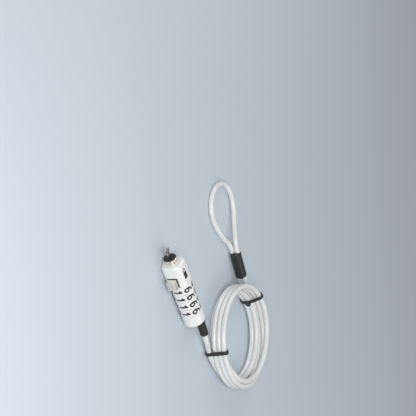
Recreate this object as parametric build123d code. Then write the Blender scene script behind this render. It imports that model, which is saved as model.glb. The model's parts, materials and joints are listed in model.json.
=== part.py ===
from build123d import *
import math
import os

# A four-dial combination cable lock for laptops, lying on a table, with its cable coiled beside it.
# Frame, in millimetres: +X points out of the locking tip, +Y is the push-button side, +Z is up.
# The origin is under the middle of the lock's own box, on the table.
# "Depth" means the distance back from the rubber pad's front face, along the lock's axis.

# Lock lengths, as depths
TIP_REACH = 8.0
PAD_THICK = 1.0
HEAD_FRONT = 5.0
HEAD_WALL = 2.2
BULKHEAD_FRONT = 24.6
HEAD_REAR = 26.6
DIAL_PITCH = 7.575
DIAL_WIDTH = 7.3
DIALS = 4
CAP_GAP = 0.2
CAP_LENGTH = 11.3
LUG_REAR = 70.8
BOOT_END = 88.0

# Lock sections
HEAD_HALF = 9.2
HEAD_CORNER = 6.2
HEAD_ROUND = 2.2
HEAD_CHAMFER = 0.4
CAVITY_HALF = 7.2
CAVITY_CORNER = 4.4
NOSE_DROP = 1.0
COLLAR_R = 5.75
COLLAR_BORE = 3.6
PAD_R = 5.45
PAD_EDGE = 0.35
PAD_SLOT_HALF = 1.0
DIAL_R = 9.1
DIAL_BEVEL = 0.3
CODE_RING_R = 7.2
CORE_R = 4.6
CORE_BORE = 3.4
CORE_FLANGE_R = CORE_R + 0.8
CORE_FLANGE_THICK = 0.8
CORE_THREAD_R = CORE_R - 0.7
FIN_SLOT_HALF = 0.7
CAP_R = 9.15
LUG_R = 5.4
LUG_OFFSET = 7.6
LUG_TILT = 5.0
BOOT_R = 3.65
BOOT_ROUND = 1.3
BOOT_GROOVES = 6
BOOT_GROOVE_START = 2.6
BOOT_GROOVE_PITCH = 2.3
BOOT_GROOVE_HALF = 0.35
BOOT_GROOVE_DEEP = 0.35
RUNNING = 0.05
CUT_PAST = 1.0

# Push button and the parts it moves
BUTTON_DEPTH = 20.0
BUTTON_LENGTH = 8.0
BUTTON_HEIGHT = 7.6
BUTTON_STAND = 6.4
BUTTON_TRAVEL = 2.4
BUTTON_ROOT = 4.6
BUTTON_CHAMFER = 1.3
BUTTON_PLAY = 0.06
BEZEL_RIM = 0.7
LEG_INNER = 2.4
LEG_OUTER = 3.6
LEG_HALF = 3.7
SPINDLE_R = 2.2
CAM_PIN_R = 0.8
CAM_PIN_LENGTH = 7.2
CAM_PLAY = 0.1
BLADE_HALF = 0.75
BLADE_HEIGHT_HALF = 0.7
FIN_R = 5.5
FIN_LENGTH = 1.6
FIN_HALF = 0.6
FIN_LEAD = 0.8
SPRING_WIRE_R = 0.2
SPRING_PITCH = 0.8
SPRING_HEIGHT = 1.6
SPRING_ROOM = 0.38

# Locking jaws
JAW_THICK = 1.6
JAW_GAP = 1.0
JAW_STEM = 1.0
HOOK_HALF = 3.1
PIVOT_DEPTH = 10.8
PIVOT_Y = 2.4
EYE_R = 1.5
PIVOT_PIN_R = 0.75
PIVOT_PIN_LENGTH = 6.4
JAW_ROOM = 0.25
HOOK_LENGTH = 3.4
STEM_REAR = 8.6
TAIL_REAR = 15.0
TAIL_THICK = 1.0
CARRIER_REAR = 13.2
CARRIER_HALF = 4.8
CARRIER_HEIGHT_HALF = 3.2
CARRIER_SLOT_HALF = 4.1
JAW_SPRING_SHEET = 0.25
JAW_SPRING_HALF = 2.5

# Small fasteners
GRUB_R = 0.9
GRUB_LENGTH = 4.0
GRUB_APART_HALF = 3.4
GRUB_SINK = 0.4
BALL_R = 0.75
BALL_BORE_R = 0.8
BALL_LEAD = 2.6
LEAF_HALF = 0.9
LEAF_TOP = -2.88
LEAF_BOTTOM = -3.06
NOTCH_HALF = 0.7
RING_HALF = 3.3
WASHER_HALF = 0.12
RESET_R = 2.4
RESET_STEM_R = 1.5
RESET_SLOT_HALF = 0.35
COVER_SINK = 2.2
COVER_THICK = 1.4

# Cable, coil, sleeve and ties
CABLE_D = 4.4
CABLE_PLAY = 0.02
FERRULE_START = 59.6
FERRULE_R = 2.5
COIL_INNER = 35.6
COIL_OUTER = 45.5
COIL_LAYERS = 4
COIL_X = -89.8
COIL_Y = -54.3
SLEEVE_R = 4.85
SLEEVE_LENGTH = 25.3
SLEEVE_ROUND = 1.2
SLEEVE_STOP = 2.0
SLEEVE_X = -47.35
SLEEVE_Y = -100.8
SLEEVE_ANGLE = -7.7
TIE_THICK = 1.3
TIE_WIDTH = 3.4
TIE_SLACK = 0.1
TIE_BESIDE = 47.3
TIE_BESIDE_Z = 4.5
TIE_BESIDE_R = 3.0
FRONT_TIE_ANGLE = 68.0
REAR_TIE_ANGLE = -76.0

# Places worked out from the sizes above
CABLE_R = CABLE_D / 2
CAP_FRONT = HEAD_REAR + DIALS * DIAL_PITCH + CAP_GAP
CAP_REAR = CAP_FRONT + CAP_LENGTH
LUG_FRONT = CAP_FRONT + 1.2
LUG_ROUND = 1.6
LUG_SLOPE = math.tan(math.radians(LUG_TILT))
LUG_REACH = LUG_OFFSET + (LUG_REAR - LUG_FRONT - LUG_ROUND) * LUG_SLOPE + LUG_R
FACE_X = (BOOT_END - TIP_REACH) / 2
AXIS_Y = (LUG_REACH - HEAD_HALF - BUTTON_STAND) / 2
AXIS_Z = HEAD_HALF
CORE_NECK = CAP_FRONT + 4.1
COIL_BOTTOM = TIE_THICK + TIE_SLACK
COIL_HEIGHT = COIL_LAYERS * CABLE_D


def dial_depth(index):
    """The depth of a dial's middle."""
    return HEAD_REAR + DIAL_PITCH * (index + 0.5)


def lock_place(depth, y=0.0, z=0.0):
    """A location on the lock: depth behind the pad, y and z from the dials' axis."""
    return Pos(FACE_X - depth, AXIS_Y + y, AXIS_Z + z)


def rod(start, end, radius, y=0.0, z=0.0):
    """A round bar along the lock's axis, between two depths."""
    middle = (start + end) / 2
    return lock_place(middle, y, z) * Rot(0, 90, 0) * Cylinder(radius, end - start)


def ring(start, end, outer, inner, y=0.0, z=0.0):
    """A round tube along the lock's axis, between two depths."""
    return rod(start, end, outer, y, z) - rod(start - 1, end + 1, inner, y, z)


def block(start, end, y_low, y_high, z_low, z_high):
    """A rectangular block between two depths; y and z are from the dials' axis."""
    size = Box(end - start, y_high - y_low, z_high - z_low)
    return lock_place((start + end) / 2, (y_low + y_high) / 2, (z_low + z_high) / 2) * size


def rounded_bar(start, end, half, corner):
    """A rounded-square bar along the lock's axis, between two depths."""
    section = RectangleRounded(2 * half, 2 * half, corner)
    return lock_place(end) * Rot(0, 90, 0) * extrude(section, end - start)


def turned(profile, y=0.0, z=0.0):
    """A body of revolution about the lock's axis from (depth, radius) corners; it closes along the axis."""
    first, last = profile[0], profile[-1]
    corners = [(first[0], 0.0), *profile, (last[0], 0.0)]
    outline = Polyline([(-depth, radius) for depth, radius in corners], close=True)
    return lock_place(0, y, z) * revolve(make_face(outline), Axis.X)


def only_solid(shape):
    """The single solid of a shape, so that a file holds a plain solid and not a compound."""
    solids = shape.solids()
    return solids[0] if len(solids) == 1 else Compound(children=list(solids))


# ---------------------------------------------------------------- head

def head_housing():
    """Die-cast head: a rounded-square shell, open at the back, with a nose hole and a button window."""
    shell = rounded_bar(HEAD_FRONT, HEAD_REAR, HEAD_HALF, HEAD_CORNER)
    front_edges = shell.faces().sort_by(Axis.X)[-1].edges()
    shell = fillet(front_edges, HEAD_ROUND)
    rear_edges = shell.faces().sort_by(Axis.X)[0].edges()
    shell = chamfer(rear_edges, HEAD_CHAMFER)
    shell -= rounded_bar(HEAD_FRONT + HEAD_WALL, HEAD_REAR + CUT_PAST, CAVITY_HALF, CAVITY_CORNER)
    shell -= rod(HEAD_FRONT - CUT_PAST, HEAD_FRONT + HEAD_WALL + CUT_PAST, CORE_R, z=-NOSE_DROP)
    bezel_length, bezel_height = bezel_size()
    shell -= block(
        BUTTON_DEPTH - bezel_length / 2, BUTTON_DEPTH + bezel_length / 2,
        CAVITY_HALF - CUT_PAST, HEAD_HALF + CUT_PAST,
        -bezel_height / 2, bezel_height / 2,
    )
    for side in (-1, 1):
        shell -= grub_place(side) * Cylinder(GRUB_R, GRUB_LENGTH)
    return shell


def bezel_size():
    """Length and height of the button's bezel."""
    return BUTTON_LENGTH + 2 * BEZEL_RIM, BUTTON_HEIGHT + 2 * BEZEL_RIM


def button_bezel():
    """Dark nylon frame that lines the button's window."""
    length, height = bezel_size()
    frame = block(
        BUTTON_DEPTH - length / 2, BUTTON_DEPTH + length / 2,
        CAVITY_HALF, HEAD_HALF,
        -height / 2, height / 2,
    )
    return frame - button_prism(BUTTON_PLAY, CAVITY_HALF - CUT_PAST, HEAD_HALF + CUT_PAST)


def button_prism(clearance, y_low, y_high):
    """The button's outline, with a clearance all round, between two distances from the axis."""
    return block(
        BUTTON_DEPTH - BUTTON_LENGTH / 2 - clearance, BUTTON_DEPTH + BUTTON_LENGTH / 2 + clearance,
        y_low, y_high,
        -BUTTON_HEIGHT / 2 - clearance, BUTTON_HEIGHT / 2 + clearance,
    )


def nose_collar():
    """Plated collar that carries the pad; its rolled rim holds it in the head's front wall."""
    inner_face = HEAD_FRONT + HEAD_WALL
    profile = [
        (PAD_THICK, COLLAR_R - 0.5), (PAD_THICK + 0.5, COLLAR_R), (HEAD_FRONT - 0.4, COLLAR_R),
        (HEAD_FRONT, COLLAR_R - 0.4), (HEAD_FRONT, CORE_R), (inner_face, CORE_R),
    ]
    bore = rod(0, inner_face + CUT_PAST, COLLAR_BORE, z=-NOSE_DROP)
    return turned(profile, z=-NOSE_DROP) - bore


def rubber_pad():
    """Soft washer on the collar's face, with a slot that the jaws come through."""
    pad = turned([(0, PAD_R - PAD_EDGE), (PAD_EDGE, PAD_R), (PAD_THICK, PAD_R)], z=-NOSE_DROP)
    half_slot = JAW_GAP / 2 + JAW_STEM + JAW_ROOM
    slot = block(
        -CUT_PAST, PAD_THICK + CUT_PAST,
        -half_slot, half_slot,
        -NOSE_DROP - PAD_SLOT_HALF, -NOSE_DROP + PAD_SLOT_HALF,
    )
    return pad - slot


# ---------------------------------------------------------------- jaws

def jaw(side):
    """One hooked jaw: hook outside the pad, pivot eye in the carrier and a tail behind it."""
    inner = JAW_GAP / 2
    outer = inner + JAW_STEM
    tail_inner = PIVOT_Y - EYE_R
    tail_outer = tail_inner + TAIL_THICK
    tip = TIP_REACH
    outline = Polyline(
        (tip, inner), (tip, HOOK_HALF - 0.4), (tip - 0.4, HOOK_HALF), (tip - 1.0, HOOK_HALF),
        (tip - HOOK_LENGTH, outer), (-STEM_REAR, outer),
        (-PIVOT_DEPTH + 1.4, PIVOT_Y + 1.2), (-PIVOT_DEPTH - 0.8, PIVOT_Y + 1.2),
        (-PIVOT_DEPTH - 1.8, tail_outer), (-TAIL_REAR, tail_outer), (-TAIL_REAR, tail_inner),
        (-PIVOT_DEPTH + 1.4, tail_inner), (-STEM_REAR - 0.2, inner),
        close=True,
    )
    plate = extrude(make_face(outline), JAW_THICK)
    plate -= Pos(-PIVOT_DEPTH, PIVOT_Y, JAW_THICK / 2) * Cylinder(PIVOT_PIN_R + RUNNING, 2 * JAW_THICK)
    if side < 0:
        plate = mirror(plate, about=Plane.XZ)
    return lock_place(0, 0, -NOSE_DROP - JAW_THICK / 2) * plate


def jaw_carrier():
    """Steel block behind the front wall, slotted for the jaws and drilled for their pins."""
    front = HEAD_FRONT + HEAD_WALL
    body = block(
        front, CARRIER_REAR,
        -CARRIER_HALF, CARRIER_HALF,
        -NOSE_DROP - CARRIER_HEIGHT_HALF, -NOSE_DROP + CARRIER_HEIGHT_HALF,
    )
    half_slot = JAW_THICK / 2 + RUNNING
    body -= block(
        front - CUT_PAST, CARRIER_REAR + CUT_PAST,
        -CARRIER_SLOT_HALF, CARRIER_SLOT_HALF,
        -NOSE_DROP - half_slot, -NOSE_DROP + half_slot,
    )
    for side in (-1, 1):
        pin_hole = Cylinder(PIVOT_PIN_R, PIVOT_PIN_LENGTH + 2 * CUT_PAST)
        body -= lock_place(PIVOT_DEPTH, side * PIVOT_Y, -NOSE_DROP) * pin_hole
    return body


def jaw_pins():
    """The two pins that the jaws turn on."""
    pins = [
        lock_place(PIVOT_DEPTH, side * PIVOT_Y, -NOSE_DROP) * Cylinder(PIVOT_PIN_R, PIVOT_PIN_LENGTH)
        for side in (-1, 1)
    ]
    return pins[0] + pins[1]


def jaw_spring():
    """Spring-steel channel whose walls press the jaws' tails together."""
    start, end = CARRIER_REAR + 0.2, TAIL_REAR + 0.6
    low, high = -NOSE_DROP - 2.1, -NOSE_DROP + 0.7
    half_inside = JAW_SPRING_HALF - JAW_SPRING_SHEET
    outside = block(start, end, -JAW_SPRING_HALF, JAW_SPRING_HALF, low, high)
    inside = block(
        start - CUT_PAST, end + CUT_PAST,
        -half_inside, half_inside,
        low + JAW_SPRING_SHEET, high + CUT_PAST,
    )
    return outside - inside


# ---------------------------------------------------------------- button and spindle

def push_button():
    """Plated button with a stop flange and two legs; a sloped slot in each leg drives the cam pin."""
    outer_face = HEAD_HALF + BUTTON_STAND
    cap = button_prism(0, BUTTON_ROOT, outer_face)
    cap = chamfer(cap.faces().sort_by(Axis.Y)[-1].edges(), BUTTON_CHAMFER)
    flange = block(
        BUTTON_DEPTH - BUTTON_LENGTH / 2 - 1.1, BUTTON_DEPTH + BUTTON_LENGTH / 2 + 0.4,
        CAVITY_HALF - 1.5, CAVITY_HALF - 0.1,
        -BUTTON_HEIGHT / 2, BUTTON_HEIGHT / 2,
    )
    body = cap + flange
    for side in (-1, 1):
        z_low, z_high = sorted((side * LEG_INNER, side * LEG_OUTER))
        body += block(
            BUTTON_DEPTH - LEG_HALF, BUTTON_DEPTH + LEG_HALF,
            -BUTTON_ROOT + 0.1, BUTTON_ROOT,
            z_low, z_high,
        )
    return body - cam_slot()


def cam_slot():
    """A slot at 45 degrees through both legs, as long as the button's travel."""
    width = 2 * (CAM_PIN_R + CAM_PLAY)
    length = BUTTON_TRAVEL * math.sqrt(2) + width
    middle = BUTTON_TRAVEL / 2
    slot = extrude(SlotOverall(length, width), 5, both=True)
    return lock_place(BUTTON_DEPTH - middle, middle) * Rot(0, 0, 45) * slot


def spindle():
    """Sliding shaft: a blade between the jaws' tails and one fin for each code ring."""
    last_fin_end = dial_depth(DIALS - 1) + FIN_LEAD + FIN_LENGTH
    shaft = rod(BUTTON_DEPTH - 2.3, last_fin_end, SPINDLE_R)
    shaft += block(
        BUTTON_DEPTH - 7.0, BUTTON_DEPTH - 2.0,
        -BLADE_HALF, BLADE_HALF,
        -NOSE_DROP - BLADE_HEIGHT_HALF, -NOSE_DROP + BLADE_HEIGHT_HALF,
    )
    for index in range(DIALS):
        start = dial_depth(index) + FIN_LEAD
        shaft += block(start, start + FIN_LENGTH, -FIN_HALF, FIN_HALF, 0, FIN_R)
    return shaft - cam_pin()


def cam_pin():
    """Cross pin of the spindle that rides in the button's sloped slots."""
    return lock_place(BUTTON_DEPTH) * Cylinder(CAM_PIN_R, CAM_PIN_LENGTH)


def return_spring():
    """Coil spring round the spindle, at its pressed length; it pushes the first fin back to rest."""
    path = Helix(SPRING_PITCH, SPRING_HEIGHT, SPINDLE_R + SPRING_ROOM)
    wire = sweep(Plane(path @ 0, z_dir=path % 0) * Circle(SPRING_WIRE_R), path=path, is_frenet=True)
    return lock_place(HEAD_REAR + 0.3) * Rot(0, -90, 0) * wire


# ---------------------------------------------------------------- bulkhead and core

def grub_place(side):
    """Where a grub screw stands, on the head's underside."""
    low = -HEAD_HALF + GRUB_SINK
    return lock_place((BULKHEAD_FRONT + HEAD_REAR) / 2, side * GRUB_APART_HALF, low + GRUB_LENGTH / 2)


def bulkhead():
    """Plate that closes the head; the core tube passes through it."""
    plate = rounded_bar(BULKHEAD_FRONT, HEAD_REAR, CAVITY_HALF, CAVITY_CORNER)
    plate -= rod(BULKHEAD_FRONT - CUT_PAST, HEAD_REAR + CUT_PAST, CORE_R)
    plate -= rod(BULKHEAD_FRONT - CUT_PAST, BULKHEAD_FRONT + CORE_FLANGE_THICK, CORE_FLANGE_R)
    for side in (-1, 1):
        plate -= grub_place(side) * Cylinder(GRUB_R, GRUB_LENGTH)
    return plate


def bulkhead_screws():
    """Two grub screws that pin the bulkhead in the head from below."""
    screws = []
    for side in (-1, 1):
        screw = grub_place(side) * Cylinder(GRUB_R, GRUB_LENGTH)
        socket = grub_place(side) * Pos(0, 0, -GRUB_LENGTH / 2) * extrude(RegularPolygon(0.5, 6), 0.8)
        screws.append(screw - socket)
    return screws[0] + screws[1]


def core_tube():
    """Hardened tube that the code rings turn on, slotted for the spindle's fins."""
    tube = rod(BULKHEAD_FRONT, BULKHEAD_FRONT + CORE_FLANGE_THICK, CORE_FLANGE_R)
    tube += rod(BULKHEAD_FRONT, CORE_NECK, CORE_R)
    tube += rod(CORE_NECK, CORE_NECK + 2.0, CORE_THREAD_R)
    tube -= rod(BULKHEAD_FRONT - CUT_PAST, HEAD_REAR, SPINDLE_R + RUNNING)
    tube -= rod(HEAD_REAR, CORE_NECK + 2.0 + CUT_PAST, CORE_BORE)
    slot_start = dial_depth(0) - 2.4
    slot_end = dial_depth(DIALS - 1) + 2.7
    tube -= block(slot_start, slot_end, -FIN_SLOT_HALF, FIN_SLOT_HALF, 0, CORE_R + CUT_PAST)
    for index in range(DIALS):
        ball_hole = Cylinder(BALL_BORE_R, 4 * CUT_PAST)
        tube -= lock_place(dial_depth(index) - BALL_LEAD, 0, -CORE_R) * ball_hole
    return tube


def detent_balls():
    """One steel ball under each code ring, in a hole of the core tube."""
    balls = [
        lock_place(dial_depth(index) - BALL_LEAD, 0, -CORE_R + 0.77) * Sphere(BALL_R)
        for index in range(DIALS)
    ]
    return Compound(children=balls)


def detent_leaf():
    """Leaf spring in the bottom of the core tube that lifts the balls."""
    start = dial_depth(0) - BALL_LEAD - LEAF_HALF
    end = dial_depth(DIALS - 1) - BALL_LEAD + 1.0
    return block(start, end, -LEAF_HALF, LEAF_HALF, LEAF_BOTTOM, LEAF_TOP)


def retaining_nut():
    """Nut on the core tube's end that keeps the cable cap on."""
    return ring(CORE_NECK + 0.1, CORE_NECK + 1.9, CORE_R + 0.4, CORE_THREAD_R)


# ---------------------------------------------------------------- dials

def dial(index):
    """Outer number ring with bevelled rims."""
    middle = dial_depth(index)
    half = DIAL_WIDTH / 2
    profile = [
        (middle - half, DIAL_R - DIAL_BEVEL), (middle - half + DIAL_BEVEL, DIAL_R),
        (middle + half - DIAL_BEVEL, DIAL_R), (middle + half, DIAL_R - DIAL_BEVEL),
    ]
    return turned(profile) - rod(middle - DIAL_WIDTH, middle + DIAL_WIDTH, CODE_RING_R)


def code_ring(index):
    """Inner ring with a notched flange; it turns on the core tube and is pressed into its dial."""
    middle = dial_depth(index)
    body = ring(middle - RING_HALF, middle + RING_HALF, CODE_RING_R, CORE_R + RUNNING)
    body -= rod(middle - 2.0, middle + 2.5, FIN_R + 0.3)
    body -= block(middle - RING_HALF - 0.7, middle - 1.5, -NOTCH_HALF, NOTCH_HALF, 0, FIN_R + 0.2)
    return body


def dial_washers():
    """Thin washers between neighbouring dials."""
    washers = []
    for index in range(DIALS - 1):
        middle = HEAD_REAR + DIAL_PITCH * (index + 1)
        washers.append(ring(middle - WASHER_HALF, middle + WASHER_HALF, CODE_RING_R - 0.2, CORE_R))
    return Compound(children=washers)


# ---------------------------------------------------------------- cable cap

def lug_axis_y(depth):
    """The lug axis's distance from the dials' axis; it leans towards +Y on its way back."""
    return -LUG_OFFSET - (LUG_REAR - depth) * LUG_SLOPE


def lug_place(depth):
    """A location on the lug's axis."""
    return lock_place(depth, lug_axis_y(depth)) * Rot(0, 0, -LUG_TILT) * Rot(0, 90, 0)


def lug_rod(start, end, radius):
    """A round bar along the lug's axis, between two depths."""
    return lug_place((start + end) / 2) * Cylinder(radius, end - start)


def cable_cap():
    """Rear casting that swivels on the core tube; the lug on its side holds the cable's end."""
    profile = [
        (CAP_FRONT, CAP_R - 0.4), (CAP_FRONT + 0.4, CAP_R), (CAP_REAR - 2.0, CAP_R),
        (CAP_REAR - 1.1, CAP_R - 0.45), (CAP_REAR - 0.4, CAP_R - 1.2), (CAP_REAR, CAP_R - 2.2),
    ]
    lug = lug_rod(LUG_FRONT, LUG_REAR, LUG_R)
    lug = fillet(lug.edges(), LUG_ROUND)
    body = turned(profile) + lug
    body -= rod(CAP_FRONT - CUT_PAST, CORE_NECK + CUT_PAST, CORE_R + 0.08)
    body -= rod(CORE_NECK + 0.05, CAP_REAR + CUT_PAST, CORE_R + 0.5)
    return body - lug_rod(FERRULE_START, LUG_REAR + CUT_PAST, FERRULE_R)


def cable_ferrule():
    """Steel ferrule swaged on the cable's end and held in the lug."""
    return lug_rod(FERRULE_START, LUG_REAR, FERRULE_R)


def rear_cover():
    """Disc pressed into the cap's back, with a hole for the code-change screw."""
    front = CAP_REAR - COVER_SINK
    return ring(front, front + COVER_THICK, CORE_R + 0.5, RESET_R + 0.1)


def reset_screw():
    """Slotted screw that is turned to change the code."""
    head = CAP_REAR - COVER_SINK
    screw = rod(head, head + 1.2, RESET_R) + rod(dial_depth(DIALS - 1) + 3.0, head, RESET_STEM_R)
    return screw - block(head + 0.6, head + 2, -RESET_SLOT_HALF, RESET_SLOT_HALF, -3, 3)


def strain_relief():
    """Ribbed rubber boot round the cable where it leaves the lug."""
    boot = lug_rod(LUG_REAR, BOOT_END, BOOT_R)
    boot = fillet(boot.edges().sort_by(Axis.X)[0], BOOT_ROUND)
    for index in range(BOOT_GROOVES):
        middle = LUG_REAR + BOOT_GROOVE_START + index * BOOT_GROOVE_PITCH
        outside = lug_rod(middle - BOOT_GROOVE_HALF, middle + BOOT_GROOVE_HALF, BOOT_R + CUT_PAST)
        boot -= outside - lug_rod(middle - 1, middle + 1, BOOT_R - BOOT_GROOVE_DEEP)
    return boot - lug_rod(LUG_REAR - CUT_PAST, BOOT_END + CUT_PAST, CABLE_R + CABLE_PLAY)


# ---------------------------------------------------------------- cable

def lug_point(depth):
    """A point of the lug's axis."""
    return (FACE_X - depth, AXIS_Y + lug_axis_y(depth), AXIS_Z)


def sleeve_point(distance, level):
    """A point of the sleeve's upper (level 1) or lower (level -1) strand, measured from its middle."""
    angle = math.radians(SLEEVE_ANGLE)
    x = SLEEVE_X + distance * math.cos(angle)
    y = SLEEVE_Y + distance * math.sin(angle)
    return (x, y, SLEEVE_R + level * CABLE_R)


# From the lug through the boot, down to the table and in with the coil's turns
LEAD_ROUTE = [
    lug_point(LUG_REAR),
    lug_point(95.0),
    (-67.5, -10.4, 5.0),
    (-79.5, -11.2, 3.6),
    (-91.5, -13.4, 3.6),
]

# Out of the coil, up to the sleeve and half-way through it
TAIL_ROUTE = [
    (-88.3, -98.0, 3.6),
    (-77.0, -98.9, 4.2),
    sleeve_point(-18.7, 1),
    sleeve_point(0, 1),
]

# Out of the sleeve's upper hole, round the loop and back into its lower hole
LOOP_ROUTE = [
    sleeve_point(0, 1),
    sleeve_point(19.0, 1),
    (-17.2, -114.4, 5.2),
    (-6.6, -127.6, 2.8),
    (7.5, -133.1, 2.2),
    (21.6, -128.0, 2.2),
    (29.0, -114.6, 2.2),
    (26.4, -99.8, 2.2),
    (14.0, -90.8, 2.2),
    (-2.0, -92.0, 2.2),
    (-15.6, -96.6, 2.2),
    sleeve_point(19.0, -1),
    sleeve_point(2.0, -1),
]


def corner_radius(before, corner, after):
    """The fillet at a corner: 0.45 of the shorter run, over the tangent of half the turn."""
    run_in = Vector(*corner) - Vector(*before)
    run_out = Vector(*after) - Vector(*corner)
    half_turn = math.radians(run_in.get_angle(run_out)) / 2
    return 0.45 * min(run_in.length, run_out.length) / math.tan(half_turn)


def cable_tube(route, name):
    """A plain round tube along straight runs joined by tangent arcs."""
    radii = [corner_radius(*route[i - 1:i + 2]) for i in range(1, len(route) - 1)]
    print(name, "radii", [round(radius, 1) for radius in radii])
    path = FilletPolyline(*route, radius=radii)
    section = Plane(path @ 0, z_dir=path % 0) * Circle(CABLE_R)
    tube = sweep(section, path=path)
    expected = path.length * math.pi * CABLE_R**2
    print(name, "length", round(path.length, 1), "volume share", round(tube.volume / expected, 3))
    return tube


def cable_coil():
    """One closed solid of the coil's outer shape."""
    width = COIL_OUTER - COIL_INNER
    middle = Pos(COIL_INNER + width / 2, COIL_BOTTOM + COIL_HEIGHT / 2)
    section = Plane.XZ * middle * RectangleRounded(width, COIL_HEIGHT, CABLE_R)
    return Pos(COIL_X, COIL_Y, 0) * revolve(section, Axis.Z)


def bundle(extra):
    """Outline round the coil's section and the cable's end that lies beside it, a little larger all round."""
    inner, outer = COIL_INNER + CABLE_R, COIL_OUTER - CABLE_R
    low, high = COIL_BOTTOM + CABLE_R, COIL_BOTTOM + COIL_HEIGHT - CABLE_R
    strands = [
        (inner, low, CABLE_R),
        (inner, high, CABLE_R),
        (outer, high, CABLE_R),
        (TIE_BESIDE, TIE_BESIDE_Z, TIE_BESIDE_R),
    ]
    circles = [(Pos(x, z) * Circle(radius + extra)).edges()[0] for x, z, radius in strands]
    return make_hull(circles)


def coil_tie(angle):
    """A band pulled round the coil and the cable's end beside it, at an angle about the coil's middle."""
    band = extrude(bundle(TIE_SLACK + TIE_THICK) - bundle(TIE_SLACK), TIE_WIDTH / 2, both=True)
    return Pos(COIL_X, COIL_Y, 0) * Rot(0, 0, angle) * Rot(90, 0, 0) * band


# ---------------------------------------------------------------- loop sleeve

def loop_sleeve():
    """Black crimp sleeve: the cable passes through its upper bore and ends in its lower one."""
    body = Cylinder(SLEEVE_R, SLEEVE_LENGTH)
    body = fillet(body.edges(), SLEEVE_ROUND)
    bore = Cylinder(CABLE_R + CABLE_PLAY, 2 * SLEEVE_LENGTH)
    body -= Pos(-CABLE_R, 0, 0) * bore
    body -= Pos(CABLE_R, 0, SLEEVE_LENGTH + SLEEVE_STOP) * bore
    return Pos(SLEEVE_X, SLEEVE_Y, SLEEVE_R) * Rot(0, 0, SLEEVE_ANGLE) * Rot(0, 90, 0) * body


def parts():
    """Every node's name and shape."""
    shapes = {
        "head_housing": head_housing(),
        "button_bezel": button_bezel(),
        "nose_collar": nose_collar(),
        "rubber_pad": rubber_pad(),
        "jaw_left": jaw(1),
        "jaw_right": jaw(-1),
        "jaw_carrier": jaw_carrier(),
        "jaw_pins": jaw_pins(),
        "jaw_spring": jaw_spring(),
        "push_button": push_button(),
        "spindle": spindle(),
        "cam_pin": cam_pin(),
        "return_spring": return_spring(),
        "bulkhead": bulkhead(),
        "bulkhead_screws": bulkhead_screws(),
        "core_tube": core_tube(),
        "detent_balls": detent_balls(),
        "detent_leaf": detent_leaf(),
        "dial_washers": dial_washers(),
        "retaining_nut": retaining_nut(),
        "cable_cap": cable_cap(),
        "cable_ferrule": cable_ferrule(),
        "rear_cover": rear_cover(),
        "reset_screw": reset_screw(),
        "strain_relief": strain_relief(),
        "cable_lead": cable_tube(LEAD_ROUTE, "cable_lead"),
        "cable_coil": cable_coil(),
        "cable_tail": cable_tube(TAIL_ROUTE, "cable_tail"),
        "cable_loop": cable_tube(LOOP_ROUTE, "cable_loop"),
        "loop_sleeve": loop_sleeve(),
        "front_tie": coil_tie(FRONT_TIE_ANGLE),
        "rear_tie": coil_tie(REAR_TIE_ANGLE),
    }
    for index in range(DIALS):
        shapes[f"dial_{index + 1}"] = dial(index)
        shapes[f"code_ring_{index + 1}"] = code_ring(index)
    return shapes


def main():
    os.makedirs("parts", exist_ok=True)
    for name, shape in parts().items():
        export_step(only_solid(shape), os.path.join("parts", name + ".step"))


main()
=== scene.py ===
import json
import math

import bmesh
import bpy
from mathutils import Matrix, Vector


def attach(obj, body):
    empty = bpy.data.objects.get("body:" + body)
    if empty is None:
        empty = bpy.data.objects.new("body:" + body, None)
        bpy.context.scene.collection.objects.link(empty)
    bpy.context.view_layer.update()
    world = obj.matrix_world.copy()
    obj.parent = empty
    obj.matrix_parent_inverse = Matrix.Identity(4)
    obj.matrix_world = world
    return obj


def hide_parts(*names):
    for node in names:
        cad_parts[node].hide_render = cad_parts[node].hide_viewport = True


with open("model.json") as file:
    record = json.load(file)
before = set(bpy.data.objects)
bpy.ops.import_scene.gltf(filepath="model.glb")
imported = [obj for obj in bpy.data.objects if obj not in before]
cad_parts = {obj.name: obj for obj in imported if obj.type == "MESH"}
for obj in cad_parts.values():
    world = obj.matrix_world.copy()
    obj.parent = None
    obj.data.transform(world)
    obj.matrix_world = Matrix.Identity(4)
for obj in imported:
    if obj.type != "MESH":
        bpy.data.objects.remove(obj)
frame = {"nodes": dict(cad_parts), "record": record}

# Lengths are in millimetres and angles in degrees, unless a line says otherwise
MM = 0.001

# The lock: "depth" is the distance back from the rubber pad's face
FACE_X = 40.0
AXIS_Y = -0.82319
AXIS_Z = 9.2
HEAD_HALF = 9.2
HEAD_CORNER = 6.2
HEAD_REAR = 26.6
DIAL_COUNT = 4
DIAL_PITCH = 7.575
DIAL_R = 9.1
LUG_REAR = 70.8
LUG_OFFSET = 7.6
LUG_SLOPE = math.tan(math.radians(5.0))

# The boot
BOOT_END = 88.0
BOOT_OVERLAP = 0.2
BOOT_R = 3.62
BOOT_TAPER = 0.10
BOOT_ROUND = 1.3
BOOT_ROUND_SHARE = 0.9
RIB_MARGIN = 1.3
RIB_PITCH = 1.42
RIB_DEPTH = 0.30
RIB_SHARPNESS = 1.5
BOOT_ROWS = 260
BOOT_AROUND = 72

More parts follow.
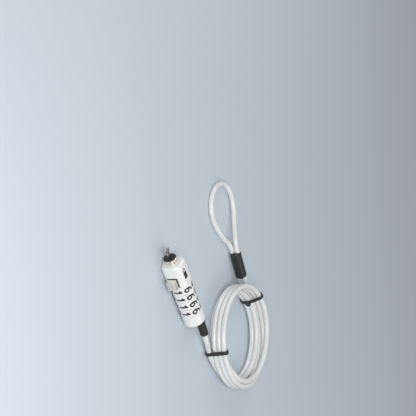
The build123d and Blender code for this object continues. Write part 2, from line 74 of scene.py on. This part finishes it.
# The cable and its coil; a span is the pair of winding angles between which the line changes
CABLE_R = 2.2
LEAD_STRAIGHT_END = 95.0
COIL_X = -89.8
COIL_Y = -54.3
COIL_START = 112
COIL_END = 2060
COIL_STEP = 15
INNER_TURN = 38.9
OUTER_TURN = 43.35
LEVELS = (3.6, 8.0, 12.4, 16.8)
TURN_PLAY = 0.1
FIRST_TURN_END = 480
INNER_TURNS_END = 1060
FIRST_RISE = (390, 460)
SECOND_RISE = (720, 850)
STEP_OUT = (905, 1000)
CREST_RISE = (860, 905)
CREST_FALL = (1000, 1060)
CREST_UP = 0.2
CREST_DOWN = 0.3
OUTER_FALLS = 3
OUTER_FALL_START = 1180
OUTER_FALL_LENGTH = 150

# The sleeve
SLEEVE_X = -47.35
SLEEVE_Y = -100.8
SLEEVE_R = 4.85
SLEEVE_HALF = 12.65
SLEEVE_ANGLE = math.radians(-7.7)
SLEEVE_ROUND = 1.9
SLEEVE_ROWS = 60
SLEEVE_AROUND = 96
GROOVE_DEPTH = 0.75
GROOVE_SPREAD = 0.20

# The ties; a strand is its distance from the coil's middle and its height
TIE_THICK = 1.15
TIE_WIDTH = 3.3
TIE_EDGE = 0.4
TIE_PLAY = 0.08
TIE_STEP = 3
FRONT_TIE_ANGLE = 68.0
REAR_TIE_ANGLE = -76.0
FRONT_STRANDS = ((38.9, 5.6), (38.9, 12.4), (43.3, 16.9), (47.0, 4.5))
REAR_STRANDS = ((38.9, 3.6), (38.9, 8.2), (43.3, 17.0), (45.7, 3.9))
LATCH_DEPTH = 3.2
LATCH_WIDTH = 4.6
LATCH_CORNER = 0.7
LATCH_INWARD = 1.9
LATCH_LEVEL = 8.4
# Level and inset of each outline up the latch
LATCH_OUTLINES = ((-2.1, 0.9), (-1.9, 0.35), (-1.4, 0.0), (1.4, 0.0), (1.9, 0.35), (2.1, 0.9))

# The numbers, made of strokes in a square of side 1
NUMBERS = "612345"
FIRST_NUMBER_ANGLE = 28.0
NUMBER_HEIGHT = 7.8
NUMBER_WIDTH = 5.5
STROKE = 1.5
STROKES = {
    "1": [
        [(0.60, 0.0), (0.60, 1.0)],
        [(0.46, 0.91), (0.26, 0.80)],
    ],
    "2": [
        [(0.10, 0.74), (0.20, 0.91), (0.50, 1.0), (0.80, 0.91),
         (0.88, 0.72), (0.72, 0.50), (0.40, 0.25), (0.10, 0.03)],
        [(0.04, 0.0), (0.96, 0.0)],
    ],
    "3": [
        [(0.10, 0.86), (0.30, 0.98), (0.62, 0.98), (0.82, 0.84), (0.78, 0.62), (0.42, 0.53)],
        [(0.42, 0.53), (0.80, 0.46), (0.92, 0.27), (0.76, 0.06), (0.46, 0.0), (0.20, 0.03), (0.05, 0.16)],
    ],
    "4": [
        [(0.70, 1.0), (0.04, 0.30)],
        [(0.02, 0.28), (1.0, 0.28)],
        [(0.72, 1.0), (0.72, 0.0)],
    ],
    "5": [
        [(0.92, 1.0), (0.22, 1.0)],
        [(0.20, 1.0), (0.13, 0.55)],
        [(0.13, 0.56), (0.42, 0.63), (0.74, 0.58), (0.90, 0.34),
         (0.76, 0.07), (0.44, 0.0), (0.18, 0.04), (0.05, 0.15)],
    ],
    "6": [
        [(0.80, 1.0), (0.50, 0.98), (0.24, 0.80), (0.10, 0.50), (0.10, 0.28), (0.26, 0.05), (0.52, 0.0),
         (0.80, 0.08), (0.90, 0.30), (0.78, 0.50), (0.52, 0.57), (0.26, 0.48), (0.11, 0.30)],
    ],
}
SAMPLES = 9
INK_THICK = 0.05
INK_SUNK = 0.02
LAYER_STEP = 0.004
RIBBON_COLUMNS = (1, 0.33, -0.33, -1)

# The padlock mark: its run goes back along the axis, its across sideways
MARK_DEPTH = 15.3
MARK_Y = 2.2
MARK_LINE = 0.75
MARK_BODY_WIDTH = 4.4
MARK_BODY = [(0.5 + 0.25 * i, 0.0) for i in range(8)]
MARK_SHACKLE = [
    (-1.2, -1.3), (-3.0, -1.3), (-4.3, -1.05), (-4.9, 0.0),
    (-4.3, 1.05), (-3.0, 1.3), (-1.2, 1.3),
]

# Finishes; JACKET_DEPTH is in metres
COAT_ROUGHNESS = 0.12
ROUGHNESS_SPREAD = 0.06
LEAST_ROUGHNESS = 0.02
BUMP_STRENGTH = 0.35
EDGE_SAMPLES = 4
FINE_DETAIL = 4.0
BROAD_DETAIL = 2.0
TIMES_BROADER = 9
TWIST_COUNT = 520.0
STRANDS_SEEN = 5.0
STRAND_DARK = (0.46, 0.47, 0.48, 1)
STRAND_LIGHT = (0.88, 0.88, 0.87, 1)
STRAND_EDGE = 0.34
STRAND_BLEND = 0.24
JACKET_GLOW = 0.12
JACKET_DEPTH = 0.0015

# The stage: each light has a place and a size in metres and a power in watts, and their target is in metres
FLOOR_HALF = 1500
FLOOR_COLOR = (0.60, 0.66, 0.72, 1)
FLOOR_ROUGHNESS = 0.7
WORLD_STRENGTH = 0.32
LIGHT_TARGET = (-0.01, -0.05, 0.0)
LIGHTS = (
    ("key", (0.30, 0.50, 0.50), 0.45, 3.8),
    ("fill", (-0.55, 0.10, 0.60), 0.6, 1.2),
    ("rim", (0.45, -0.45, 0.40), 0.35, 0.9),
)

# The camera; its clip distances are in metres
CAMERA_AZIMUTH = 53.53
CAMERA_ELEVATION = 27.3
CAMERA_ROLL = 88.77
CAMERA_DISTANCE = 1600.0
CAMERA_TARGET = (-10, -50, 6)
AIM_RIGHT = 1.3
AIM_UP = 50.2
PIXELS_PER_MM = 1.183
PICTURE_WIDTH = 416
SENSOR_WIDTH = 36.0
CLIP_START = 0.01
CLIP_END = 20


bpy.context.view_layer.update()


# ---------------------------------------------------------------- materials

def new_material(name):
    """A material with its nodes and links."""
    material = bpy.data.materials.new(name)
    material.use_nodes = True
    return material, material.node_tree.nodes, material.node_tree.links


def noise(nodes, links, place, scale, detail):
    """A noise over the object's own coordinates."""
    node = nodes.new("ShaderNodeTexNoise")
    node.inputs["Scale"].default_value = scale
    node.inputs["Detail"].default_value = detail
    links.new(place.outputs["Object"], node.inputs["Vector"])
    return node


def finish(
    name, color, roughness, metallic=0.0, coat=0.0,
    grain=900.0, relief=0.02, mottle=0.06, edge=0.15,
):
    """Fine surface grain, slight colour change and softened edges; relief and edge are in millimetres."""
    material, nodes, links = new_material(name)
    shader = nodes["Principled BSDF"]
    shader.inputs["Metallic"].default_value = metallic
    shader.inputs["Coat Weight"].default_value = coat
    shader.inputs["Coat Roughness"].default_value = COAT_ROUGHNESS
    place = nodes.new("ShaderNodeTexCoord")
    fine = noise(nodes, links, place, grain, FINE_DETAIL)
    broad = noise(nodes, links, place, grain / TIMES_BROADER, BROAD_DETAIL)
    tint = nodes.new("ShaderNodeMix")
    tint.data_type = "RGBA"
    tint.inputs["A"].default_value = (*[c * (1 - mottle) for c in color], 1)
    tint.inputs["B"].default_value = (*[min(1, c * (1 + mottle)) for c in color], 1)
    links.new(broad.outputs["Fac"], tint.inputs["Factor"])
    links.new(tint.outputs["Result"], shader.inputs["Base Color"])
    rough = nodes.new("ShaderNodeMapRange")
    rough.inputs["To Min"].default_value = max(LEAST_ROUGHNESS, roughness - ROUGHNESS_SPREAD)
    rough.inputs["To Max"].default_value = min(1.0, roughness + ROUGHNESS_SPREAD)
    links.new(fine.outputs["Fac"], rough.inputs["Value"])
    links.new(rough.outputs["Result"], shader.inputs["Roughness"])
    soft = nodes.new("ShaderNodeBevel")
    soft.samples = EDGE_SAMPLES
    soft.inputs["Radius"].default_value = edge * MM
    bump = nodes.new("ShaderNodeBump")
    bump.inputs["Strength"].default_value = BUMP_STRENGTH
    bump.inputs["Distance"].default_value = relief * MM
    links.new(fine.outputs["Fac"], bump.inputs["Height"])
    links.new(soft.outputs["Normal"], bump.inputs["Normal"])
    links.new(bump.outputs["Normal"], shader.inputs["Normal"])
    return material


def math_node(nodes, links, operation, first, second):
    """A Math node; its first input is linked, and its second is linked or a plain number."""
    node = nodes.new("ShaderNodeMath")
    node.operation = operation
    links.new(first, node.inputs[0])
    if isinstance(second, float):
        node.inputs[1].default_value = second
    else:
        links.new(second, node.inputs[1])
    return node.outputs["Value"]


def cable_jacket():
    """Clear jacket over twisted steel strands: the strands show as faint slanted streaks."""
    material = finish("cable_jacket", (0.84, 0.845, 0.84), 0.22, coat=0.35, grain=500.0, relief=0.01)
    nodes, links = material.node_tree.nodes, material.node_tree.links
    shader = nodes["Principled BSDF"]
    place = nodes.new("ShaderNodeTexCoord")
    stretch = nodes.new("ShaderNodeMapping")
    stretch.inputs["Scale"].default_value = (TWIST_COUNT, 1.0, 1.0)
    links.new(place.outputs["UV"], stretch.inputs["Vector"])
    split = nodes.new("ShaderNodeSeparateXYZ")
    links.new(stretch.outputs["Vector"], split.inputs["Vector"])
    around = math_node(nodes, links, "MULTIPLY", split.outputs["Y"], STRANDS_SEEN)
    phase = math_node(nodes, links, "ADD", split.outputs["X"], around)
    wave = math_node(nodes, links, "PINGPONG", phase, 0.5)
    strand = nodes.new("ShaderNodeValToRGB")
    dark, light = strand.color_ramp.elements
    dark.position, dark.color = 0.0, STRAND_DARK
    light.position, light.color = STRAND_EDGE, STRAND_LIGHT
    links.new(wave, strand.inputs["Fac"])
    blend = nodes.new("ShaderNodeMix")
    blend.data_type = "RGBA"
    blend.inputs["Factor"].default_value = STRAND_BLEND
    plain = shader.inputs["Base Color"].links[0].from_socket
    links.new(plain, blend.inputs["A"])
    links.new(strand.outputs["Color"], blend.inputs["B"])
    links.new(blend.outputs["Result"], shader.inputs["Base Color"])
    shader.inputs["Subsurface Weight"].default_value = JACKET_GLOW
    shader.inputs["Subsurface Radius"].default_value = (JACKET_DEPTH,) * 3
    shader.inputs["Subsurface Scale"].default_value = 1.0
    return material


SHELL = {"coat": 0.6, "edge": 0.3}
METAL = {"metallic": 1.0}

MATERIALS = {
    "pearl_shell": finish("pearl_shell", (0.86, 0.86, 0.85), 0.26, relief=0.012, mottle=0.03, **SHELL),
    "nickel_trim": finish(
        "nickel_trim", (0.88, 0.83, 0.76), 0.30, relief=0.004, mottle=0.03, edge=0.3, **METAL,
    ),
    "steel": finish("steel", (0.62, 0.60, 0.57), 0.28, mottle=0.08, **METAL),
    "spring_steel": finish("spring_steel", (0.42, 0.42, 0.43), 0.32, **METAL),
    "brass_parts": finish("brass_parts", (0.72, 0.54, 0.26), 0.30, **METAL),
    "zinc_parts": finish("zinc_parts", (0.52, 0.52, 0.53), 0.45, relief=0.04, **METAL),
    "dial_plastic": finish("dial_plastic", (0.88, 0.88, 0.87), 0.20, relief=0.008, mottle=0.02, **SHELL),
    "black_rubber": finish(
        "black_rubber", (0.018, 0.018, 0.019), 0.58, grain=1400.0, relief=0.04, mottle=0.2,
    ),
    "black_plastic": finish(
        "black_plastic", (0.022, 0.022, 0.023), 0.38, grain=700.0, relief=0.03, mottle=0.15,
    ),
    "cable_jacket": cable_jacket(),
    "number_ink": finish("number_ink", (0.012, 0.012, 0.013), 0.34, relief=0.005, mottle=0.1, edge=0.02),
}


def wear(piece, slot):
    """Puts one finish on a piece, in place of any other."""
    piece.data.materials.clear()
    piece.data.materials.append(MATERIALS[slot])


def dress(piece, slot, body):
    """Gives a new piece its slot's finish and its body."""
    wear(piece, slot)
    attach(piece, body)


def dress_cad_nodes():
    """Every carried-over CAD node gets its slot's finish."""
    for entry in frame["record"]["subparts"]:
        wear(frame["nodes"][entry["node"]], entry["material_slot"])


# ---------------------------------------------------------------- mesh helpers

def add_object(name, data):
    """A new object in the scene."""
    piece = bpy.data.objects.new(name, data)
    bpy.context.scene.collection.objects.link(piece)
    return piece


def add_mesh(name, points, faces):
    """A smooth-shaded mesh object from points in millimetres."""
    mesh = bpy.data.meshes.new(name)
    mesh.from_pydata([Vector(p) * MM for p in points], [], faces)
    mesh.polygons.foreach_set("use_smooth", [True] * len(mesh.polygons))
    return add_object(name, mesh)


def mesh_from(bm, name):
    """The finished mesh of a bmesh, which is freed."""
    mesh = bpy.data.meshes.new(name)
    bm.to_mesh(mesh)
    bm.free()
    return mesh


def grid_tube(name, rings):
    """A closed skin over rings of equally many points; each end is capped with a fan."""
    count = len(rings[0])
    points = [p for ring in rings for p in ring]
    faces = []
    for row in range(len(rings) - 1):
        for i in range(count):
            j = (i + 1) % count
            a, b = row * count, (row + 1) * count
            faces.append((a + i, a + j, b + j, b + i))
    for row in (0, len(rings) - 1):
        middle = sum((Vector(p) for p in rings[row]), Vector()) / count
        points.append(middle)
        tip = len(points) - 1
        for i in range(count):
            a, b = row * count + i, row * count + (i + 1) % count
            faces.append((b, a, tip) if row == 0 else (a, b, tip))
    return add_mesh(name, points, faces)


def rounded_rectangle(width, height, corner, steps=8):
    """Points round a rounded rectangle about the origin."""
    points = []
    for quarter in range(4):
        cx = (width / 2 - corner) * (1, -1, -1, 1)[quarter]
        cy = (height / 2 - corner) * (1, 1, -1, -1)[quarter]
        for k in range(steps + 1):
            angle = math.radians(90 * (quarter + k / steps))
            points.append((cx + corner * math.cos(angle), cy + corner * math.sin(angle)))
    return points


def smooth_run(points):
    """A smooth line through points; two points give a straight run."""
    line = []
    for i in range(len(points) - 1):
        before = points[max(i - 1, 0)]
        a, b = points[i], points[i + 1]
        after = points[min(i + 2, len(points) - 1)]
        for k in range(SAMPLES):
            t = k / SAMPLES
            line.append([
                0.5 * (2 * a[n] + (b[n] - before[n]) * t
                       + (2 * before[n] - 5 * a[n] + 4 * b[n] - after[n]) * t ** 2
                       + (3 * a[n] - before[n] - 3 * b[n] + after[n]) * t ** 3)
                for n in (0, 1)
            ])
    line.append(list(points[-1]))
    return line


def ribbon(bm, points, stroke, lift):
    """A flat strip of one width along a line of points in a plane, with square ends past its ends."""
    line = [Vector(point) for point in points]
    last = len(line) - 1
    rows = []
    for i, point in enumerate(line):
        run = (line[min(i + 1, last)] - line[max(i - 1, 0)]).normalized()
        across = Vector((-run.y, run.x)) * stroke / 2
        end = Vector((0, 0))
        if i in (0, last):
            end = run * stroke / 2 * (-1 if i == 0 else 1)
        rows.append([
            bm.verts.new((*((point + end + across * k) * MM), lift * MM))
            for k in RIBBON_COLUMNS
        ])
    for low, high in zip(rows, rows[1:]):
        for k in range(len(RIBBON_COLUMNS) - 1):
            bm.faces.new((low[k], low[k + 1], high[k + 1], high[k]))


# ---------------------------------------------------------------- numbers

def glyph_mesh(digit):
    """One bold number as a thin plate about the origin, made of strokes of one width."""
    width, height = NUMBER_WIDTH - STROKE, NUMBER_HEIGHT - STROKE
    bm = bmesh.new()
    for layer, stroke in enumerate(STROKES[digit]):
        line = [((x - 0.5) * width, (y - 0.5) * height) for x, y in smooth_run(stroke)]
        ribbon(bm, line, STROKE, INK_THICK + LAYER_STEP * layer)
    return mesh_from(bm, "glyph_" + digit)


def wrap(mesh, depth, angle):
    """Lays a flat number on its dial: its line runs back along the axis, its top points over the ring."""
    for vertex in mesh.vertices:
        run, rise, lift = (value / MM for value in vertex.co)
        turn = math.radians(angle) - rise / DIAL_R
        radius = DIAL_R - INK_SUNK + lift
        vertex.co = Vector((
            FACE_X - depth - run,
            AXIS_Y + radius * math.sin(turn),
            AXIS_Z + radius * math.cos(turn),
        )) * MM


def dial_numbers(index, glyphs):
    """The six numbers of one dial, joined in one piece."""
    depth = HEAD_REAR + DIAL_PITCH * (index + 0.5)
    joined = bmesh.new()
    for place, digit in enumerate(NUMBERS):
        mesh = glyphs[digit].copy()
        wrap(mesh, depth, FIRST_NUMBER_ANGLE + 360 / len(NUMBERS) * place)
        joined.from_mesh(mesh)
        bpy.data.meshes.remove(mesh)
    name = f"dial_{index + 1}_numbers"
    numbers = add_object(name, mesh_from(joined, name))
    dress(numbers, "number_ink", f"number_{index + 1}")


# ---------------------------------------------------------------- padlock mark

def head_top(y):
    """How high the head's rounded-square top stands at a distance from its middle."""
    past = max(0.0, abs(y) - (HEAD_HALF - HEAD_CORNER))
    return HEAD_HALF - HEAD_CORNER + math.sqrt(HEAD_CORNER**2 - past**2)


def padlock_mark():
    """A plain padlock printed on the head's top: a rounded body and an arched shackle in front of it."""
    bm = bmesh.new()
    ribbon(bm, MARK_BODY, MARK_BODY_WIDTH, INK_THICK)
    ribbon(bm, smooth_run(MARK_SHACKLE), MARK_LINE, INK_THICK)
    mesh = mesh_from(bm, "padlock_mark")
    for vertex in mesh.vertices:
        run, across, lift = (value / MM for value in vertex.co)
        y = MARK_Y + across
        vertex.co = Vector((FACE_X - MARK_DEPTH - run, AXIS_Y + y, AXIS_Z + head_top(y) + lift)) * MM
    dress(add_object("padlock_mark", mesh), "number_ink", "lock_body")


# ---------------------------------------------------------------- boot

def lug_axis(depth):
    """A point of the lug's axis."""
    return Vector((FACE_X - depth, AXIS_Y - LUG_OFFSET - (LUG_REAR - depth) * LUG_SLOPE, AXIS_Z))


def boot_radius(s, length):
    """The boot's radius at a distance from its front: a slight taper, ribs and a rounded rear end."""
    radius = BOOT_R - BOOT_TAPER * (s / length)
    if RIB_MARGIN < s < length - RIB_MARGIN:
        wave = 0.5 - 0.5 * math.cos(2 * math.pi * (s - RIB_MARGIN) / RIB_PITCH)
        radius -= RIB_DEPTH * wave ** RIB_SHARPNESS
    if s > length - BOOT_ROUND:
        past = (s - length + BOOT_ROUND) / BOOT_ROUND
        radius -= BOOT_ROUND * (1 - math.sqrt(max(0.0, 1 - past ** 2))) * BOOT_ROUND_SHARE
    return radius


def boot():
    """Black boot with fine ribs round it, a plain collar at the lug and a rounded rear end."""
    start, end = lug_axis(LUG_REAR - BOOT_OVERLAP), lug_axis(BOOT_END)
    along = (end - start).normalized()
    side = along.cross(Vector((0, 0, 1))).normalized()
    up = side.cross(along)
    length = (end - start).length
    rings = []
    for row in range(BOOT_ROWS + 1):
        s = length * row / BOOT_ROWS
        radius = boot_radius(s, length)
        centre = start + along * s
        rings.append([
            centre + (side * math.cos(a) + up * math.sin(a)) * radius
            for a in (2 * math.pi * i / BOOT_AROUND for i in range(BOOT_AROUND))
        ])
    piece = grid_tube("boot_skin", rings)
    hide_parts("strain_relief")
    dress(piece, "black_rubber", "cable_end")


# ---------------------------------------------------------------- sleeve

def sleeve_frame():
    """The sleeve's middle, and the directions along it and to its side."""
    along = Vector((math.cos(SLEEVE_ANGLE), math.sin(SLEEVE_ANGLE), 0))
    side = Vector((-along.y, along.x, 0))
    return Vector((SLEEVE_X, SLEEVE_Y, SLEEVE_R)), along, side


def sleeve_point(distance, level):
    """A point of the sleeve's upper (level 1) or lower (level -1) strand."""
    middle, along, _ = sleeve_frame()
    return tuple(middle + along * distance + Vector((0, 0, level * CABLE_R)))


def sleeve():
    """Black sleeve with rounded ends and a groove down each side, between its two strands."""
    middle, along, side = sleeve_frame()
    rings = []
    for row in range(SLEEVE_ROWS + 1):
        s = -math.cos(math.pi * row / SLEEVE_ROWS) * SLEEVE_HALF
        inset = max(0.0, abs(s) - (SLEEVE_HALF - SLEEVE_ROUND)) / SLEEVE_ROUND
        shrink = SLEEVE_ROUND * (1 - math.sqrt(max(0.0, 1 - inset * inset)))
        ring = []
        for i in range(SLEEVE_AROUND):
            a = 2 * math.pi * i / SLEEVE_AROUND
            groove = GROOVE_DEPTH * math.exp(-(math.sin(a) / GROOVE_SPREAD) ** 2)
            radius = SLEEVE_R - shrink - groove * (1 - inset)
            out = side * (radius * math.cos(a))
            ring.append(middle + along * s + out + Vector((0, 0, radius * math.sin(a))))
        rings.append(ring)
    piece = grid_tube("sleeve_skin", rings)
    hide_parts("loop_sleeve")
    dress(piece, "black_plastic", "cable_end")
    return piece


# ---------------------------------------------------------------- ties

def pulled_round(strands, radius):
    """Points of a band pulled tight round strands of one radius, with its outward directions."""
    line = []
    for degrees in range(0, 360, TIE_STEP):
        angle = math.radians(degrees)
        out = Vector((math.cos(angle), math.sin(angle)))
        reach = max(strands, key=lambda s: s[0] * out.x + s[1] * out.y)
        line.append((Vector(reach) + out * radius, out))
    return line


def tie(name, node, angle, strands):
    """A moulded band pulled round the coil, its edges rounded, with a latch on its inner side."""
    turn = Matrix.Rotation(math.radians(angle), 4, "Z")
    coil_middle = Vector((COIL_X, COIL_Y, 0))
    section = rounded_rectangle(TIE_WIDTH, TIE_THICK, TIE_EDGE, steps=3)
    count = len(section)
    points, faces = [], []
    line = pulled_round(strands, CABLE_R + TIE_PLAY + TIE_THICK / 2)
    for place, out in line:
        for v, u in section:
            spot = Vector((place.x + out.x * u, v, place.y + out.y * u))
            points.append(coil_middle + turn @ spot)
    for row in range(len(line)):
        a, b = row * count, ((row + 1) % len(line)) * count
        for i in range(count):
            j = (i + 1) % count
            faces.append((a + i, b + i, b + j, a + j))
    piece = add_mesh(name, points, faces)
    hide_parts(node)
    dress(piece, "black_plastic", "cable_end")
    return [piece, latch_block(name + "_latch", coil_middle, turn)]


def latch_block(name, coil_middle, turn):
    """The tie's latch: a small rounded block on the coil's inner side."""
    centre = Vector((INNER_TURN - CABLE_R - LATCH_INWARD, 0, LATCH_LEVEL))
    rings = []
    for level, inset in LATCH_OUTLINES:
        outline = rounded_rectangle(LATCH_DEPTH - 2 * inset, LATCH_WIDTH - 2 * inset, LATCH_CORNER, steps=4)
        rings.append([coil_middle + turn @ (centre + Vector((x, y, level))) for x, y in outline])
    piece = grid_tube(name, rings)
    dress(piece, "black_plastic", "cable_end")
    return piece


# ---------------------------------------------------------------- cable

def smooth_step(t):
    """Eases from 0 to 1, and holds outside that."""
    t = min(max(t, 0.0), 1.0)
    return t * t * (3 - 2 * t)


def change(angle, span, low, high):
    """A value that goes smoothly from low to high over a span of winding angles."""
    start, end = span
    return low + (high - low) * smooth_step((angle - start) / (end - start))


def winding(angle):
    """Radius and height of the coil's line at an angle counted through all its turns."""
    second, top = LEVELS[1] + TURN_PLAY, LEVELS[3] + TURN_PLAY
    if angle < FIRST_TURN_END:
        return INNER_TURN, change(angle, FIRST_RISE, LEVELS[0], second)
    if angle < INNER_TURNS_END:
        radius = change(angle, STEP_OUT, INNER_TURN, OUTER_TURN)
        height = change(angle, SECOND_RISE, second, top)
        height += change(angle, CREST_RISE, 0.0, CREST_UP) - change(angle, CREST_FALL, 0.0, CREST_DOWN)
        return radius, height
    height = LEVELS[3]
    for turn in range(OUTER_FALLS):
        start = OUTER_FALL_START + 360 * turn
        height -= change(angle, (start, start + OUTER_FALL_LENGTH), 0.0, LEVELS[1] - LEVELS[0])
    return OUTER_TURN, height


def coil_points():
    """Turns of the coil, from the bottom inside to the top and down its outside."""
    points = []
    spread = math.cos(math.radians(COIL_STEP / 2))
    for angle in range(COIL_START, COIL_END, COIL_STEP):
        radius, height = winding(angle)
        turn = math.radians(angle)
        points.append((
            COIL_X + radius / spread * math.cos(turn),
            COIL_Y + radius / spread * math.sin(turn),
            height,
        ))
    return points


def cable_route():
    """The cable's points: out of the boot, round the coil, through the sleeve, round the loop and back."""
    lead = [
        tuple(lug_axis(BOOT_END)),
        tuple(lug_axis(LEAD_STRAIGHT_END)),
        (-67.5, -10.4, 5.0),
        (-79.5, -11.2, 3.6),
        (-91.5, -13.4, 3.6),
    ]
    tail = [
        (-88.3, -98.0, 3.6),
        (-77.0, -98.9, 4.2),
        sleeve_point(-18.7, 1),
        sleeve_point(0, 1),
    ]
    loop = [
        sleeve_point(19.0, 1),
        (-17.2, -114.4, 5.2),
        (-6.6, -127.6, 2.8),
        (7.5, -133.1, 2.2),
        (21.6, -128.0, 2.2),
        (29.0, -114.6, 2.2),
        (26.4, -99.8, 2.2),
        (14.0, -90.8, 2.2),
        (-2.0, -92.0, 2.2),
        (-15.6, -96.6, 2.2),
        sleeve_point(19.0, -1),
        sleeve_point(2.0, -1),
    ]
    return lead + coil_points() + tail + loop


def cable():
    """The whole cable as one smooth line, which runs through the sleeve and ties."""
    route = cable_route()
    curve = bpy.data.curves.new("cable", "CURVE")
    curve.dimensions = "3D"
    curve.bevel_depth = CABLE_R * MM
    curve.bevel_resolution = 7
    curve.use_fill_caps = True
    spline = curve.splines.new("NURBS")
    spline.points.add(len(route) - 1)
    for point, place in zip(spline.points, route):
        point.co = (*[value * MM for value in place], 1)
    spline.order_u = 3
    spline.use_endpoint_u = True
    spline.resolution_u = 8
    piece = add_object("cable", curve)
    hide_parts("cable_lead", "cable_coil", "cable_tail", "cable_loop")
    dress(piece, "cable_jacket", "cable_end")


# ---------------------------------------------------------------- stage

def soft_light(name, location, size, power):
    """A round area light that faces the object."""
    data = bpy.data.lights.new(name, "AREA")
    data.shape = "DISK"
    data.size = size
    data.energy = power
    light = add_object(name, data)
    light.location = location
    light.rotation_euler = (Vector(LIGHT_TARGET) - Vector(location)).to_track_quat("-Z", "Y").to_euler()


def studio():
    """A plain pale floor, a white surround and three soft lights."""
    outline = [(x * FLOOR_HALF, y * FLOOR_HALF, 0) for x, y in ((-1, -1), (1, -1), (1, 1), (-1, 1))]
    floor = add_mesh("floor", outline, [(0, 1, 2, 3)])
    material, nodes, _ = new_material("floor")
    shader = nodes["Principled BSDF"]
    shader.inputs["Base Color"].default_value = FLOOR_COLOR
    shader.inputs["Roughness"].default_value = FLOOR_ROUGHNESS
    floor.data.materials.append(material)
    world = bpy.data.worlds.new("world")
    bpy.context.scene.world = world
    world.use_nodes = True
    background = world.node_tree.nodes["Background"]
    background.inputs["Color"].default_value = (1, 1, 1, 1)
    background.inputs["Strength"].default_value = WORLD_STRENGTH
    for light in LIGHTS:
        soft_light(*light)


def camera():
    """A long lens, rolled so that the lock's tip points up in the picture."""
    azimuth, elevation, roll = (math.radians(a) for a in (CAMERA_AZIMUTH, CAMERA_ELEVATION, CAMERA_ROLL))
    back = Vector((
        math.cos(elevation) * math.cos(azimuth),
        math.cos(elevation) * math.sin(azimuth),
        math.sin(elevation),
    ))
    level = Vector((-math.sin(azimuth), math.cos(azimuth), 0))
    rise = back.cross(level)
    right = level * math.cos(roll) + rise * math.sin(roll)
    up = rise * math.cos(roll) - level * math.sin(roll)
    data = bpy.data.cameras.new("camera")
    data.sensor_width = SENSOR_WIDTH
    data.lens = PIXELS_PER_MM * CAMERA_DISTANCE / PICTURE_WIDTH * data.sensor_width
    data.clip_start = CLIP_START
    data.clip_end = CLIP_END
    view = add_object("camera", data)
    aim = Vector(CAMERA_TARGET) + right * AIM_RIGHT + up * AIM_UP
    facing = Matrix((right, up, back)).transposed().to_4x4()
    view.matrix_world = Matrix.Translation((aim + back * CAMERA_DISTANCE) * MM) @ facing
    bpy.context.scene.camera = view


dress_cad_nodes()
number_glyphs = {digit: glyph_mesh(digit) for digit in NUMBERS}
for dial in range(DIAL_COUNT):
    dial_numbers(dial, number_glyphs)
padlock_mark()
boot()
on_cable = [sleeve()]
on_cable += tie("front_band", "front_tie", FRONT_TIE_ANGLE, FRONT_STRANDS)
on_cable += tie("rear_band", "rear_tie", REAR_TIE_ANGLE, REAR_STRANDS)
cable()
studio()
camera()
bpy.context.scene.view_settings.view_transform = "Standard"
